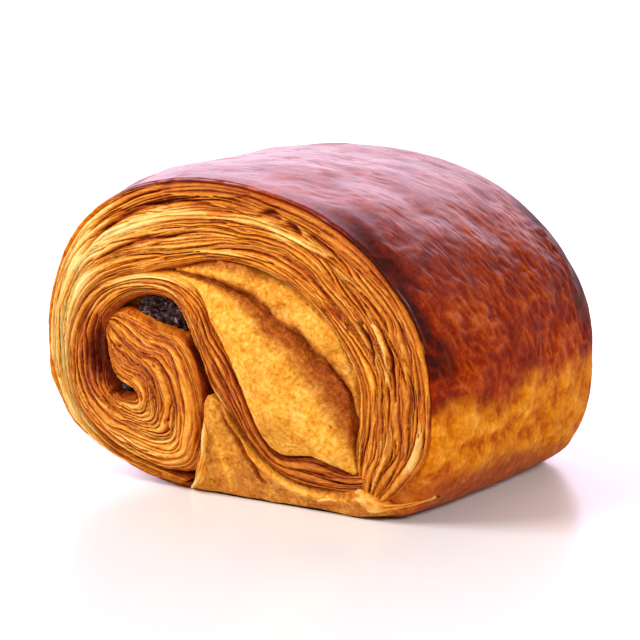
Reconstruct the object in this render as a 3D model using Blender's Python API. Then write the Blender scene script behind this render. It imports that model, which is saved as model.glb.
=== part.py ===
"""A baked pain au chocolat: laminated dough rolled round two chocolate sticks.

The roll's axis runs along Y, its flat base lies on Z = 0 and its shown end looks along -Y. Sizes are written in
millimetres and turned to metres when a mesh is made.
"""

import math

import bmesh
import bpy
import mathutils
import numpy as np

MM = 0.001

# Driving dimensions, in millimetres.
RIM_Y = 37.0  # each end's crust rim lies this far from the middle of the roll
DOME = 6.0  # how far the middle of an end stands out past its rim
BELLY_WIDTH = 0.064  # how much wider the middle of the roll is than its rims
BELLY_HEIGHT = 0.038  # how much taller it is
BELLY_POWER = 2.4  # higher is flatter along the middle
LIP_DEPTH = 1.0  # the leaves lie this much behind the crust's edge, just inside it
LIP_WIDTH = 0.05  # as a share of the way from the rim to the middle
CALM_WIDTH = 0.15  # the share of that way over which creases and swellings fade out at the rim

STICK_WIDTH = 12.0
STICK_HEIGHT = 5.6
STICK_LENGTH = 77.0  # an eight centimetre baking stick, a little slumped by the oven
STICK_EDGE = 1.1  # bevel along the edges of a chocolate stick
CLEARANCE = 0.35  # all round a stick, in its tunnel

UPPER_STICK_AT = (-15.2, 34.9)  # x and z of its middle
UPPER_STICK_TILT = -8.0  # degrees, right side down
UPPER_STICK_Y = -0.7  # both its ends lie just inside the domed ends

INNER_STICK_AT = (-22.0, 18.0)
INNER_STICK_TILT = 7.0
INNER_STICK_Y = 2.6  # it has slipped back from the shown end, so dough closes over it there
SLIT_WIDTH = 7.0  # the slit through which it shows at that end, as a dark line
SLIT_HEIGHT = 1.9

RIM_STEPS = 96
FACE_STEPS = 20
SIDE_STEPS = 8
SHOWN_POLE = (-13.0, 26.0)  # x and z of the middle of the shown end's rings

# The rim of the roll seen from the shown end, x and z, clockwise from the base's right.
RIM = [
    (27.0, 0.0),
    (37.0, 1.5),
    (42.3, 9.0),
    (43.4, 22.0),
    (40.5, 36.0),
    (31.0, 48.5),
    (18.0, 57.0),
    (2.0, 61.2),
    (-14.0, 61.4),
    (-28.0, 57.0),
    (-38.5, 47.5),
    (-43.4, 33.0),
    (-42.0, 18.0),
    (-35.0, 8.5),
    (-22.0, 2.6),
    (-10.0, 0.0),
    (8.0, 0.0),
]

# Creases of the shown end: a path of x and z, its half width and its depth.
SHOWN_CREASES = [
    ([(-21.0, 35.5), (-27.5, 32.0), (-30.6, 26.0), (-28.5, 20.5), (-24.5, 18.0), (-20.5, 18.2)], 3.0, 3.4),
    ([(-10.0, 36.0), (-6.0, 28.5), (-3.6, 20.0), (-4.2, 10.0), (-7.5, 2.0)], 3.0, 1.8),
    ([(-12.0, 44.5), (-3.0, 43.5), (6.0, 41.0), (13.0, 36.5), (20.0, 32.5), (25.0, 25.0), (27.3, 12.0)], 3.6, 2.6),
    ([(-3.0, 33.0), (3.0, 22.0), (8.5, 12.5), (14.0, 7.5), (24.0, 7.8)], 3.4, 1.8),
]
SHOWN_SWELLINGS = [((-14.0, 24.0), 11.0, 2.2), ((13.0, 22.0), 9.0, 2.4)]  # middle, radius and height

# The far end shows a plain spiral of the same roll.
SPIRAL_MIDDLE = (-17.0, 26.0)  # also the middle of that end's rings
SPIRAL_TURNS = 1.7
SPIRAL_START = 3.0
SPIRAL_PITCH = 9.5
SPIRAL_STEPS = 60
SPIRAL_CREASE = (3.2, 1.8)  # half width and depth
FAR_SWELLINGS = [((-17.0, 26.0), 12.0, 2.0), ((18.0, 28.0), 10.0, 1.2)]


def spline(points, count, closed):
    """Points spread evenly by length along a Catmull-Rom curve through the given ones."""
    p = np.array(points, float)
    if closed:
        p = np.vstack([p[-1], p, p[0], p[1]])
    else:
        p = np.vstack([2 * p[0] - p[1], p, 2 * p[-1] - p[-2]])
    t = np.linspace(0.0, 1.0, 40, endpoint=False)[:, None]
    runs = []
    for a, b, c, d in zip(p[:-3], p[1:-2], p[2:-1], p[3:]):
        runs.append(
            0.5 * (2 * b + (c - a) * t + (2 * a - 5 * b + 4 * c - d) * t**2 + (3 * b - a - 3 * c + d) * t**3)
        )
    fine = np.vstack([*runs, p[-2]])
    along = np.concatenate([[0.0], np.cumsum(np.linalg.norm(np.diff(fine, axis=0), axis=1))])
    at = np.linspace(0.0, along[-1], count, endpoint=not closed)
    return np.stack([np.interp(at, along, fine[:, k]) for k in range(2)], axis=1)


def rim_loop():
    """The rim as x and z, flat along the base."""
    loop = spline(RIM, RIM_STEPS, closed=True)
    loop[:, 1] = np.maximum(loop[:, 1], 0.0)
    return loop


def belly(k):
    """The swelling of the side at k, which runs from -1 at one rim to 1 at the other."""
    return 1.0 - abs(k) ** BELLY_POWER


def crease_depth(places, creases):
    """How deep the creases cut at each place: a bell curve of the distance to each path."""
    depth = np.zeros(len(places))
    for path, width, deep in creases:
        line = spline(path, 80, closed=False)
        near = np.min(np.linalg.norm(places[:, None, :] - line[None, :, :], axis=2), axis=1)
        depth = np.maximum(depth, deep * np.exp(-((near / width) ** 2)))
    return depth


def swelling_height(places, swellings):
    """How far the swellings stand out at each place: a bell curve round each middle."""
    height = np.zeros(len(places))
    for middle, radius, high in swellings:
        away = np.linalg.norm(places - np.array(middle), axis=1)
        height += high * np.exp(-((away / radius) ** 2))
    return height


def spiral_path():
    """The crease of the far end's spiral: its radius grows by the pitch in each turn."""
    turn = np.linspace(0.0, SPIRAL_TURNS, SPIRAL_STEPS)
    radius = SPIRAL_START + SPIRAL_PITCH * turn
    angle = 2 * math.pi * turn
    x = SPIRAL_MIDDLE[0] + radius * np.cos(angle)
    z = SPIRAL_MIDDLE[1] + radius * np.sin(angle)
    return list(zip(x, z))


def end_ring(loop, share, side):
    """One ring of an end, at a share of the way from its middle to the rim. side is -1 for the shown end."""
    middle = np.array(SHOWN_POLE if side < 0 else SPIRAL_MIDDLE)
    places = middle + share * (loop - middle)
    creases = SHOWN_CREASES if side < 0 else [(spiral_path(), *SPIRAL_CREASE)]
    swellings = SHOWN_SWELLINGS if side < 0 else FAR_SWELLINGS
    relief = swelling_height(places, swellings) - crease_depth(places, creases)
    lip = LIP_DEPTH * min(1.0, (1.0 - share) / LIP_WIDTH) * share**8
    out = DOME * (1.0 - share**2) - lip + relief * min(1.0, (1.0 - share) / CALM_WIDTH)
    return np.column_stack([places[:, 0], np.full(len(places), side * RIM_Y) + side * out, places[:, 1]])


def side_ring(loop, k):
    """One ring of the side at k between the rims."""
    swell = belly(k)
    x = loop[:, 0] * (1.0 + BELLY_WIDTH * swell)
    z = loop[:, 1] * (1.0 + BELLY_HEIGHT * swell)
    return np.column_stack([x, np.full(len(loop), k * RIM_Y), z])


def material(name, colour, roughness):
    """A Principled material in one colour."""
    made = bpy.data.materials.new(name)
    made.use_nodes = True
    shader = made.node_tree.nodes["Principled BSDF"]
    shader.inputs["Base Color"].default_value = (*colour, 1.0)
    shader.inputs["Roughness"].default_value = roughness
    shader.inputs["Metallic"].default_value = 0.0
    return made


def place(name, mesh, finish):
    """Puts a mesh into the scene as a named, smooth-shaded object."""
    made = bpy.data.objects.new(name, mesh)
    bpy.context.scene.collection.objects.link(made)
    if finish:
        mesh.materials.append(finish)
    mesh.shade_smooth()
    mesh.set_sharp_from_angle(angle=math.radians(40.0))
    return made


def dough_mesh():
    """The roll: rings from the middle of the shown end, along the side, to the middle of the far end."""
    loop = rim_loop()
    shares = np.linspace(0.0, 1.0, FACE_STEPS + 1)[1:]
    rings = [end_ring(loop, share, -1.0) for share in shares]
    rings += [side_ring(loop, k) for k in np.linspace(-1.0, 1.0, SIDE_STEPS + 1)[1:-1]]
    rings += [end_ring(loop, share, 1.0) for share in shares[::-1]]
    work = bmesh.new()
    made = [[work.verts.new(p * MM) for p in ring] for ring in rings]
    near_pole = work.verts.new(end_ring(loop[:1], 0.0, -1.0)[0] * MM)
    far_pole = work.verts.new(end_ring(loop[:1], 0.0, 1.0)[0] * MM)
    for ring, following in zip(made, made[1:]):
        for i in range(RIM_STEPS):
            j = (i + 1) % RIM_STEPS
            work.faces.new((ring[i], ring[j], following[j], following[i]))
    for i in range(RIM_STEPS):
        j = (i + 1) % RIM_STEPS
        work.faces.new((near_pole, made[0][j], made[0][i]))
        work.faces.new((far_pole, made[-1][i], made[-1][j]))
    bmesh.ops.recalc_face_normals(work, faces=work.faces)
    bmesh.ops.triangulate(work, faces=work.faces)
    mesh = bpy.data.meshes.new("dough")
    work.to_mesh(mesh)
    work.free()
    return mesh


def bar_mesh(name, at, tilt, section, ends, edge):
    """A bar along Y from one end to the other, its bevelled rectangular section tilted about the bar's axis."""
    width, height = section
    length = ends[1] - ends[0]
    work = bmesh.new()
    bmesh.ops.create_cube(work, size=1.0)
    bmesh.ops.scale(work, verts=work.verts, vec=(width * MM, length * MM, height * MM))
    long_edges = [e for e in work.edges if abs(e.verts[0].co.y - e.verts[1].co.y) > length * MM / 2]
    bmesh.ops.bevel(work, geom=long_edges, offset=edge * MM, segments=2, profile=0.5, affect="EDGES")
    middle = mathutils.Vector((at[0], sum(ends) / 2, at[1])) * MM
    turn = mathutils.Matrix.Rotation(math.radians(-tilt), 4, "Y")
    bmesh.ops.transform(work, matrix=mathutils.Matrix.Translation(middle) @ turn, verts=work.verts)
    mesh = bpy.data.meshes.new(name)
    work.to_mesh(mesh)
    work.free()
    return mesh


def cut(target, name, mesh):
    """Cuts a bar out of the target. The cutter stays as a wire guide."""
    cutter = place(name, mesh, None)
    cutter.hide_render = True
    cutter.display_type = "WIRE"
    boolean = target.modifiers.new(name, "BOOLEAN")
    boolean.operation = "DIFFERENCE"
    boolean.solver = "EXACT"
    boolean.object = cutter


def main():
    for old in list(bpy.data.objects):
        bpy.data.objects.remove(old, do_unlink=True)
    crust = material("baked laminated dough", (0.62, 0.27, 0.055), 0.55)
    chocolate = material("dark chocolate", (0.035, 0.016, 0.012), 0.35)

    dough = place("dough", dough_mesh(), crust)
    stick = (STICK_WIDTH, STICK_HEIGHT)
    tunnel = (STICK_WIDTH + 2 * CLEARANCE, STICK_HEIGHT + 2 * CLEARANCE)
    tunnel_edge = STICK_EDGE + CLEARANCE
    outside = RIM_Y + 4 * DOME
    for name, at, tilt, middle in (
        ("upper", UPPER_STICK_AT, UPPER_STICK_TILT, UPPER_STICK_Y),
        ("inner", INNER_STICK_AT, INNER_STICK_TILT, INNER_STICK_Y),
    ):
        ends = (middle - STICK_LENGTH / 2, middle + STICK_LENGTH / 2)
        place(f"chocolate_stick_{name}", bar_mesh(name, at, tilt, stick, ends, STICK_EDGE), chocolate)
        shown = ends[0] - CLEARANCE if name == "inner" else -outside
        bore = bar_mesh(f"{name}_tunnel", at, tilt, tunnel, (shown, outside), tunnel_edge)
        cut(dough, f"{name}_tunnel", bore)
    slit = (SLIT_WIDTH, SLIT_HEIGHT)
    slit_edge = SLIT_HEIGHT / 4
    cut(dough, "slit", bar_mesh("slit", INNER_STICK_AT, INNER_STICK_TILT, slit, (-outside, 0.0), slit_edge))


main()
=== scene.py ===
# %% [markdown]
# # A pain au chocolat, leaf by leaf
#
# A pain au chocolat is a sheet of laminated dough, butter and dough folded into many leaves, rolled round
# two sticks of dark chocolate. Its top is brushed with egg and bakes to a glossy red-brown crust. Its ends
# aren't brushed, so there the leaves lift, split and stay golden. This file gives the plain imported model
# that look: a crust, two ends of real leaves, a big steam pocket and the chocolate. All sizes are in
# millimetres until a mesh is made. X is across the roll, Y along its axis, with the shown end at the low
# side, and Z is up.

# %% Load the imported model
import math

import bpy
import numpy as np
from mathutils import Matrix, Vector


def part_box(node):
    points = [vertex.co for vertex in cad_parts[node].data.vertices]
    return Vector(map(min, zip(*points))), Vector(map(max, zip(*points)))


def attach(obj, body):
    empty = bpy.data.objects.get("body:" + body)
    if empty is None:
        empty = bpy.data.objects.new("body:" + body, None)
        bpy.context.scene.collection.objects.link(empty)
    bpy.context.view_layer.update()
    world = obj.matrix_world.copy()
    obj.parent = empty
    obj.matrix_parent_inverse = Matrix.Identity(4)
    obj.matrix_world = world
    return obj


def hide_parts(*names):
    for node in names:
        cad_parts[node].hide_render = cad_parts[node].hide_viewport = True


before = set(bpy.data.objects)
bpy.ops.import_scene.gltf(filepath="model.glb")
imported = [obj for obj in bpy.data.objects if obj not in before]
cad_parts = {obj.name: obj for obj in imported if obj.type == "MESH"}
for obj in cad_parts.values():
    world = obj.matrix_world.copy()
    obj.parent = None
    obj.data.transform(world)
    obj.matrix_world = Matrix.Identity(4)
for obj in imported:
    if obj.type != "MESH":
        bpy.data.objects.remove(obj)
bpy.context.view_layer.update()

MM = 0.001
low, high = (np.array(corner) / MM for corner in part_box("dough"))
print("the dough's box in mm:", low.round(1), high.round(1))

# %% [markdown]
# ## Curves, noise and colours
#
# Three small tools do most of the work. A Catmull-Rom curve passes through the few points that an outline
# needs. Seeded noise on a lattice gives everything its unevenness, the same on each run. And a colour is
# written as the hex value that a paint program shows, which one function turns into the linear values that
# Blender's shaders work in. Blender has curves and displacement textures of its own, but with arrays one
# formula can shape a leaf and also say how browned it is.


# %% Curves
STEPS_PER_STRETCH = 40


def spline(points, count, closed=False):
    """Rows spread evenly by length along a Catmull-Rom curve. A row may hold several points side by side:
    the length is then that of their average. Each stretch is 1/2 (2b + (c-a)t + (2a-5b+4c-d)t2 +
    (3b-a-3c+d)t3)."""
    p = np.array(points, float).reshape(len(points), -1)
    if closed:
        p = np.vstack([p[-1], p, p[0], p[1]])
    else:
        p = np.vstack([2 * p[0] - p[1], p, 2 * p[-1] - p[-2]])
    t = np.linspace(0, 1, STEPS_PER_STRETCH, endpoint=False)[:, None]
    runs = []
    for a, b, c, d in zip(p[:-3], p[1:-2], p[2:-1], p[3:]):
        squared, cubed = 2 * a - 5 * b + 4 * c - d, 3 * b - a - 3 * c + d
        runs.append(0.5 * (2 * b + (c - a) * t + squared * t**2 + cubed * t**3))
    fine = np.vstack([*runs, p[-2]])
    middle = fine.reshape(len(fine), -1, 2).mean(axis=1)
    length = np.concatenate([[0], np.cumsum(np.linalg.norm(np.diff(middle, axis=0), axis=1))])
    at = np.linspace(0, length[-1], count, endpoint=not closed)
    return np.stack([np.interp(at, length, column) for column in fine.T], axis=1)


# %% Noise
LATTICE = 256


def noise(u, v, seed, around=LATTICE):
    """Smooth noise from -1 to 1: seeded random values on a square lattice, eased between their four
    neighbours by 3t2 - 2t3. It repeats after `around` cells of u, so that it can close on itself round a
    roll."""
    table = np.random.default_rng(seed).uniform(-1, 1, (LATTICE, LATTICE))
    u, v = np.broadcast_arrays(np.asarray(u, float), np.asarray(v, float))
    i, j = np.floor(u).astype(int), np.floor(v).astype(int)
    a, b = u - i, v - j
    a, b = a * a * (3 - 2 * a), b * b * (3 - 2 * b)
    i0, i1 = i % around % LATTICE, (i + 1) % around % LATTICE
    j0, j1 = j % LATTICE, (j + 1) % LATTICE
    near = table[i0, j0] * (1 - a) + table[i1, j0] * a
    far = table[i0, j1] * (1 - a) + table[i1, j1] * a
    return near * (1 - b) + far * b


def rough(u, v, seed, octaves=3, around=LATTICE):
    """Noise with finer and finer copies added, each at twice the detail and half the height."""
    return sum(noise(u * 2**k, v * 2**k, seed + k, around * 2**k) / 2**k for k in range(octaves))


def closed_noise(u, cells, v, seed, octaves=1):
    """Rough noise that closes on itself: u runs from 0 to 1 once round the roll, and has that many
    cells."""
    return rough(u * cells, v, seed, octaves, around=cells)


def smooth(x, start, end):
    """Eases from 0 at the start to 1 at the end."""
    t = np.clip((np.asarray(x, float) - start) / (end - start), 0, 1)
    return t * t * (3 - 2 * t)


def bump(x, middle, width):
    """A bell curve of height 1."""
    return np.exp(-(((x - middle) / width) ** 2))


# %% Colours
def colour(text):
    """A hex sRGB colour as linear red, green, blue and alpha."""
    parts = [int(text[k:k + 2], 16) / 255 for k in (1, 3, 5)]
    return (*(c / 12.92 if c <= 0.04045 else ((c + 0.055) / 1.055) ** 2.4 for c in parts), 1.0)


# %% [markdown]
# ## From arrays to closed meshes
#
# Every piece here is a tube: a grid of points whose rows are closed loops. A roll's crust is a tube round
# its axis, and a strip of leaves is a flat tube, with its leaves in front and a plain back. Extruding and
# sculpting could give the same shapes, but a grid is one array, and it closes simply: the first and the
# last loop get one face each, so every piece is watertight. Values worked out per point, such as how
# browned it is, are stored as attributes for the materials to read, and a UV map holds millimetres along
# and across the leaves.


# %% Make a tube
made_pieces = []


def tube(name, grid, values, material, replaced="dough", along_across=None):
    """A closed mesh from loops of points: grid[i, j] joins grid[i, j+1] and grid[i+1, j], round each loop.
    The faces are turned round where the sum of their signed volumes, a . (b x c + c x d), shows that they
    point inwards."""
    rows, columns = grid.shape[:2]
    index = np.arange(rows * columns).reshape(rows, columns)
    following = np.roll(index, -1, axis=1)
    quads = np.stack([index[:-1], following[:-1], following[1:], index[1:]], axis=-1).reshape(-1, 4)
    corners = grid.reshape(-1, 3)
    apex = corners.mean(axis=0)
    a, b, c, d = (corners[quads[:, k]] - apex for k in range(4))
    inside_out = np.sum(a * np.cross(b, c) + a * np.cross(c, d)) < 0
    caps = [index[0, ::-1].tolist(), index[-1].tolist()]
    if inside_out:
        quads = quads[:, ::-1]
        caps = [cap[::-1] for cap in caps]
    mesh = bpy.data.meshes.new(name)
    mesh.from_pydata((corners * MM).tolist(), [], quads.tolist() + caps)
    for key, value in values.items():
        layer = mesh.attributes.new(key, "FLOAT", "POINT")
        layer.data.foreach_set("value", np.broadcast_to(value, (rows, columns)).astype(np.float32).ravel())
    if along_across is not None:
        flat = np.stack(along_across, axis=-1).reshape(-1, 2)
        corner = np.empty(len(mesh.loops), np.int32)
        mesh.loops.foreach_get("vertex_index", corner)
        mesh.uv_layers.new(name="leaves").data.foreach_set("uv", flat[corner].astype(np.float32).ravel())
    mesh.shade_smooth()
    mesh.update()
    piece = bpy.data.objects.new(name, mesh)
    bpy.context.scene.collection.objects.link(piece)
    mesh.materials.append(material)
    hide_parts(replaced)
    made_pieces.append(piece)
    print(name, rows, "x", columns, "points")


# %% [markdown]
# ## Materials
#
# A material is a small graph of nodes. It could be clicked together in the shader editor, but written out
# it can be read and changed line by line. One small function adds a node with its settings and its links,
# and every material is written with it.


# %% Nodes
def node(tree, kind, inputs=None, stops=(), **settings):
    """Adds a ShaderNode of a kind with its settings and links. An input is a plain value, a socket, or a
    node, whose first output in use is linked. Stops are the positions and hex colours of a ramp."""
    made = tree.nodes.new("ShaderNode" + kind)
    for key, value in settings.items():
        setattr(made, key, value)
    for key, value in (inputs or {}).items():
        if isinstance(value, bpy.types.Node):
            value = next(output for output in value.outputs if output.enabled)
        if isinstance(value, bpy.types.NodeSocket):
            tree.links.new(value, made.inputs[key])
        else:
            made.inputs[key].default_value = value
    for index, (position, text) in enumerate(stops):
        elements = made.color_ramp.elements
        element = elements[index] if index < len(elements) else elements.new(position)
        element.position = position
        element.color = colour(text)
    return made


def empty_material(name):
    """A material and its node tree, with nothing in it."""
    made = bpy.data.materials.new(name)
    made.use_nodes = True
    made.node_tree.nodes.clear()
    return made, made.node_tree


# %% [markdown]
# ### Laminated leaves
#
# Baked puff leaves are paper-thin crisp sheets of starch and butter. Seen edge on they are golden where
# they stick out and catch the heat, and deep orange-brown in the gaps, where butter has fried them. They
# are matt with a faint buttery sheen, and light passes a little way into them. The mesh tells how far out a
# leaf's edge stands (crest), which also paints a highlight along the edges and shade in the gaps, how long
# it was in the heat, with painted light worked in (toast), and how pale it stayed (pale). Fibres drawn out
# along the leaves, 1.6 mm long and 0.4 mm wide, and crumbs of 0.7 mm break all three up.


# %% Leaf material
def leaf_material():
    """The base colour runs from deep brown to cream with depth = fibre + crest + crumb, each with its
    weight. Through crest it paints a highlight along each leaf's ridge and shade in the gaps."""
    made, tree = empty_material("baked laminated leaves")
    crest, toast_light_and_shade, pale = (node(tree, "Attribute", attribute_name=name).outputs["Fac"]
                          for name in ("crest", "toast_light_and_shade", "pale"))
    millimetres = node(tree, "UVMap", uv_map="leaves")
    drawn_out = node(tree, "Mapping", {"Vector": millimetres, "Scale": (0.6, 2.4, 1.0)})
    fibre = node(tree, "TexNoise", {"Vector": drawn_out, "Scale": 1.0, "Detail": 6.0, "Roughness": 0.7})
    place = node(tree, "TexCoord").outputs["Object"]
    crumb = node(tree, "TexNoise", {"Vector": place, "Scale": 1400.0, "Detail": 2.0, "Roughness": 0.6})
    patches = node(tree, "TexNoise", {"Vector": place, "Scale": 230.0, "Detail": 4.0})
    grain = node(tree, "Math", {0: crumb, 1: 0.35, 2: -0.5}, operation="MULTIPLY_ADD")
    grain = node(tree, "Math", {0: fibre, 1: 0.8, 2: grain}, operation="MULTIPLY_ADD")
    depth = node(tree, "Math", {0: crest, 1: 0.95, 2: grain}, operation="MULTIPLY_ADD")
    golden = node(tree, "ValToRGB", {"Fac": depth}, [
        (0.0, "#701c00"), (0.2, "#ac4200"), (0.42, "#d87204"), (0.66, "#f09618"), (0.98, "#fed064")])
    brown = node(tree, "ValToRGB", {"Fac": depth}, [
        (0.0, "#4c1000"), (0.3, "#8a3000"), (0.6, "#b85204"), (0.95, "#e08820")])
    cream = node(tree, "ValToRGB", {"Fac": depth}, [
        (0.0, "#ac4a02"), (0.22, "#e69018"), (0.48, "#fabc44"), (0.85, "#ffe092")])
    # Browning, lowered where light is painted on the leaves
    heat_light_and_shade = node(tree, "Math", {0: toast_light_and_shade, 1: 0.45}, operation="SUBTRACT")
    heat_light_and_shade = node(tree, "Math", {0: patches, 1: 0.9, 2: heat_light_and_shade}, operation="MULTIPLY_ADD", use_clamp=True)
    baked_and_painted_light = node(tree, "Mix", {"Factor": heat_light_and_shade, "A": golden, "B": brown}, data_type="RGBA")
    base = node(tree, "Mix", {"Factor": pale, "A": baked_and_painted_light, "B": cream}, data_type="RGBA")
    lift = node(tree, "Bump", {"Height": grain, "Strength": 0.9, "Distance": 0.0007})
    shader = node(tree, "BsdfPrincipled", {
        "Base Color": base, "Normal": lift, "Roughness": 0.5, "IOR": 1.4, "Specular IOR Level": 0.35,
        "Subsurface Weight": 0.1, "Subsurface Radius": (0.0012, 0.0005, 0.0001), "Subsurface Scale": 1.0})
    node(tree, "OutputMaterial", {"Surface": shader})
    return made


# %% [markdown]
# ### Steam pocket skin
#
# Where steam pushed the leaves apart, the outermost one stretched into a smooth skin. It is the palest part
# of the roll: matt, butter yellow, mottled with orange freckles of 1 to 3 mm and paler where it is
# thinnest. It has no leaves to follow, so its freckles are noise in space, and the mesh says how browned it
# is and where shade is painted on it, in its valley and its creases.


# %% Pocket material
def skin_material():
    """Two mottles of 3 mm and 0.8 mm are averaged, and run through a pale and a browned ramp. The browned
    ramp also serves as painted shade in the valleys and creases.
    """
    made, tree = empty_material("steam-stretched dough skin")
    toast_light_and_shade = node(tree, "Attribute", attribute_name="toast_light_and_shade").outputs["Fac"]
    place = node(tree, "TexCoord").outputs["Object"]
    coarse = node(tree, "TexNoise", {
        "Vector": place, "Scale": 300.0, "Detail": 6.0, "Roughness": 0.78, "Distortion": 0.8})
    fine = node(tree, "TexNoise", {"Vector": place, "Scale": 1250.0, "Detail": 3.0, "Roughness": 0.6})
    half_fine = node(tree, "Math", {0: fine, 1: 0.42}, operation="MULTIPLY")
    mottle = node(tree, "Math", {0: coarse, 1: 0.58, 2: half_fine}, operation="MULTIPLY_ADD")
    pale = node(tree, "ValToRGB", {"Fac": mottle}, [
        (0.34, "#b05202"), (0.43, "#dc8814"), (0.53, "#f2ac38"), (0.66, "#fcd074")])
    brown = node(tree, "ValToRGB", {"Fac": mottle}, [
        (0.34, "#5a1a00"), (0.5, "#a04404"), (0.64, "#cc7010")])
    base = node(tree, "Mix", {"Factor": toast_light_and_shade, "A": pale, "B": brown}, data_type="RGBA")
    lift = node(tree, "Bump", {"Height": mottle, "Strength": 0.9, "Distance": 0.0009})
    shader = node(tree, "BsdfPrincipled", {
        "Base Color": base, "Normal": lift, "Roughness": 0.6, "IOR": 1.4, "Specular IOR Level": 0.25,
        "Subsurface Weight": 0.12, "Subsurface Radius": (0.0016, 0.0006, 0.0002), "Subsurface Scale": 1.0})
    node(tree, "OutputMaterial", {"Surface": shader})
    return made


# %% [markdown]
# ### Egg-washed crust
#
# The wash is beaten egg. Sugar and protein in it brown to a deep mahogany and dry to a hard clear glaze, so
# the top shows a soft mirror over a mottled red-brown. The glaze is a coat, thickest on top and thinning
# out down the side. Below the reach of the brush the side is bare, pale and blistered, and the foot that
# stood on the tray is tan. Three materials could share the crust, but their borders would be hard. One
# material that blends by attributes lets the wash run out softly, as it does from a brush.


# %% Crust material
def crust_material():
    """Wash picks between the bare and the glazed colours, foot between bare and tan, and dark deepens the
    glaze. On the glaze the ripple attribute paints a highlight on each ripple's ridge, up to a pale
    pinkish tan, and shade in its trough; on the bare side it lightens the blisters."""
    made, tree = empty_material("egg-washed crust")
    wash, foot, dark, crag_and_ripple_light, glaze = (node(tree, "Attribute", attribute_name=name).outputs["Fac"]
                                     for name in ("wash", "foot", "dark", "crag_and_ripple_light", "glaze"))
    place = node(tree, "TexCoord").outputs["Object"]
    cloud = node(tree, "TexNoise", {"Vector": place, "Scale": 380.0, "Detail": 6.0, "Roughness": 0.68})
    fine = node(tree, "TexNoise", {"Vector": place, "Scale": 1300.0, "Detail": 3.0, "Roughness": 0.6})
    third_fine = node(tree, "Math", {0: fine, 1: 0.35}, operation="MULTIPLY")
    mottle = node(tree, "Math", {0: cloud, 1: 0.65, 2: third_fine}, operation="MULTIPLY_ADD")
    # Painted highlight on the ripples' ridges and painted shade in their troughs
    rippled = node(tree, "Math", {0: crag_and_ripple_light, 1: 0.27, 2: mottle}, operation="MULTIPLY_ADD")
    shade = node(tree, "Math", {0: dark, 1: -0.42, 2: rippled}, operation="MULTIPLY_ADD")
    # The palest stop, a pinkish tan, is reached on the ripples' ridges as a painted highlight
    glazed = node(tree, "ValToRGB", {"Fac": shade}, [
        (0.0, "#380800"), (0.2, "#661400"), (0.38, "#882400"), (0.56, "#a84006"), (0.8, "#c8683a")])
    blister = node(tree, "Math", {0: crag_and_ripple_light, 1: 0.16}, operation="MULTIPLY")
    ridges = node(tree, "Math", {0: mottle, 1: 0.95, 2: blister}, operation="MULTIPLY_ADD")
    bare = node(tree, "ValToRGB", {"Fac": ridges}, [
        (0.34, "#a84402"), (0.46, "#c86c06"), (0.6, "#e08a1c"), (0.76, "#f0b456")])
    tan = node(tree, "ValToRGB", {"Fac": mottle}, [
        (0.34, "#86320c"), (0.52, "#a84c1c"), (0.68, "#c47444")])
    unwashed = node(tree, "Mix", {"Factor": foot, "A": bare, "B": tan}, data_type="RGBA")
    base = node(tree, "Mix", {"Factor": wash, "A": unwashed, "B": glazed}, data_type="RGBA")
    pits = node(tree, "Bump", {"Height": mottle, "Strength": 0.45, "Distance": 0.0006})
    shader = node(tree, "BsdfPrincipled", {
        "Base Color": base, "Normal": pits, "Roughness": 0.55, "IOR": 1.4, "Specular IOR Level": 0.04,
        "Coat Weight": glaze, "Coat Roughness": 0.25, "Coat IOR": 1.5,
        "Subsurface Weight": 0.05, "Subsurface Radius": (0.0012, 0.0004, 0.0001), "Subsurface Scale": 1.0})
    node(tree, "OutputMaterial", {"Surface": shader})
    return made


# %% [markdown]
# ### Dark chocolate
#
# A baking stick keeps its shape in the oven because it holds little cocoa butter. Its end is broken into
# crumbs of 2.5 mm, almost black in the cracks, with a waxy shine on the facets and a violet bloom. So
# little of it shows that a cell pattern in the shader is enough for the crumbs.


# %% Chocolate material
def chocolate_material():
    """A cell pattern of 2.5 mm raises the crumbs, and noise of 1 mm colours them."""
    made, tree = empty_material("baked dark chocolate")
    place = node(tree, "TexCoord").outputs["Object"]
    bloom = node(tree, "TexNoise", {"Vector": place, "Scale": 900.0, "Detail": 4.0, "Roughness": 0.6})
    crumbs = node(tree, "TexVoronoi", {"Vector": place, "Scale": 380.0})
    base = node(tree, "ValToRGB", {"Fac": bloom}, [
        (0.36, "#0e0302"), (0.5, "#2a100c"), (0.66, "#5c3440")])
    lift = node(tree, "Bump", {"Height": crumbs, "Strength": 1.0, "Distance": 0.0015}, invert=True)
    shader = node(tree, "BsdfPrincipled", {
        "Base Color": base, "Normal": lift, "Roughness": 0.26, "IOR": 1.45, "Specular IOR Level": 0.4})
    node(tree, "OutputMaterial", {"Surface": shader})
    return made


LEAVES = leaf_material()
SKIN = skin_material()
CRUST = crust_material()
CHOCOLATE = chocolate_material()
print("materials:", [m.name for m in bpy.data.materials])

# %% [markdown]
# ## The crust
#
# The crust is the outside of the last turn of dough. In section it is a D lying on its flat side, a little
# wider and taller half way along the roll than at its rims. At each rim it turns in by the thickness of a
# few leaves, and at the foot of the tail side it turns in much further, because there the crust is rounded
# under. A cylinder could be squashed and sculpted into this, but a drawn outline carried along the axis
# follows the real one more closely.

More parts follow.
